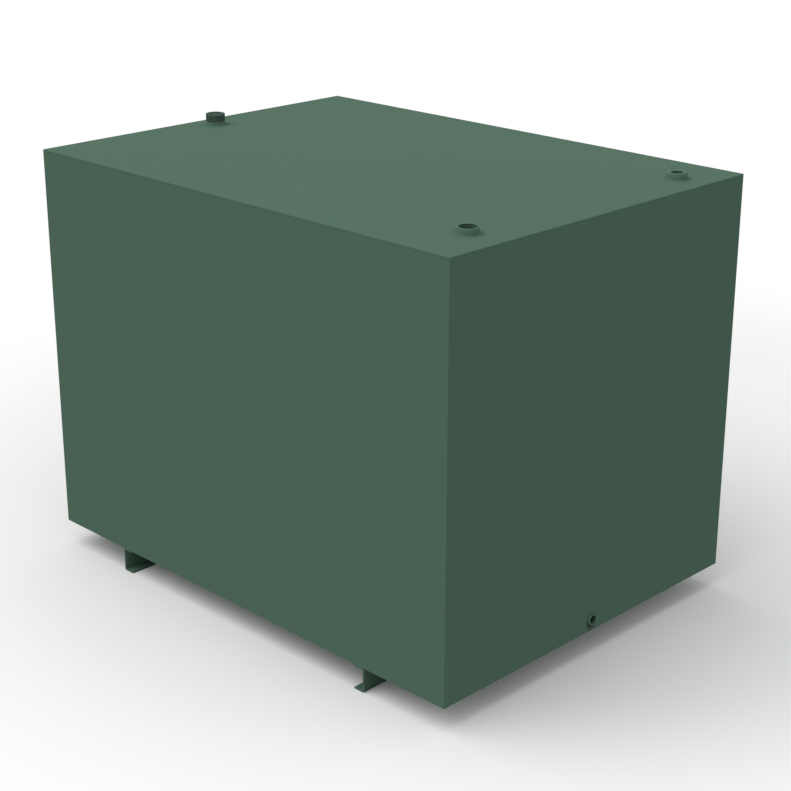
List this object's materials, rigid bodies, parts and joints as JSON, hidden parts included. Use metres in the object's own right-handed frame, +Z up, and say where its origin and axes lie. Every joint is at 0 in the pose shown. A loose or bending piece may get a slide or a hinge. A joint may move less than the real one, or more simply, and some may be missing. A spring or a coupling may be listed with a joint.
{
  "type": "single skin oil tank",
  "caption": "Flat-sided single skin steel oil storage tank on channel bearers, with threaded top fittings, a screwed fill cap and a low outlet at one end.",
  "frame": {"origin": "on the ground, under the middle of the tank body, between the two bearers", "axes": "+X along the tank towards the end with the outlet, +Y to the back, +Z up"},
  "size_m": [2.064, 1.5, 1.6409],
  "materials": {
    "green_paint": "smooth semi-matt dark green paint over mild steel plate",
    "cap_finish": "dark grey-green coating on an iron screwed cap",
    "mill_steel": "bare rolled mild steel with dull mill scale, inside the tank"
  },
  "bodies": {
    "root": {"floor_plate": "green_paint", "front_wall": "green_paint", "back_wall": "green_paint", "left_end": "green_paint", "right_end": "green_paint", "top_plate": "green_paint", "left_bearer": "green_paint", "right_bearer": "green_paint", "vent_socket": "green_paint", "gauge_socket": "green_paint", "fill_socket": "green_paint", "fill_nipple": "mill_steel", "fill_cap": "cap_finish", "outlet_socket": "green_paint", "front_left_angle": "mill_steel", "front_right_angle": "mill_steel", "back_left_angle": "mill_steel", "back_right_angle": "mill_steel", "left_end_angle": "mill_steel", "right_end_angle": "mill_steel", "left_low_tie": "mill_steel", "left_high_tie": "mill_steel", "right_low_tie": "mill_steel", "right_high_tie": "mill_steel", "long_tie": "mill_steel"}
  },
  "joints": []
}
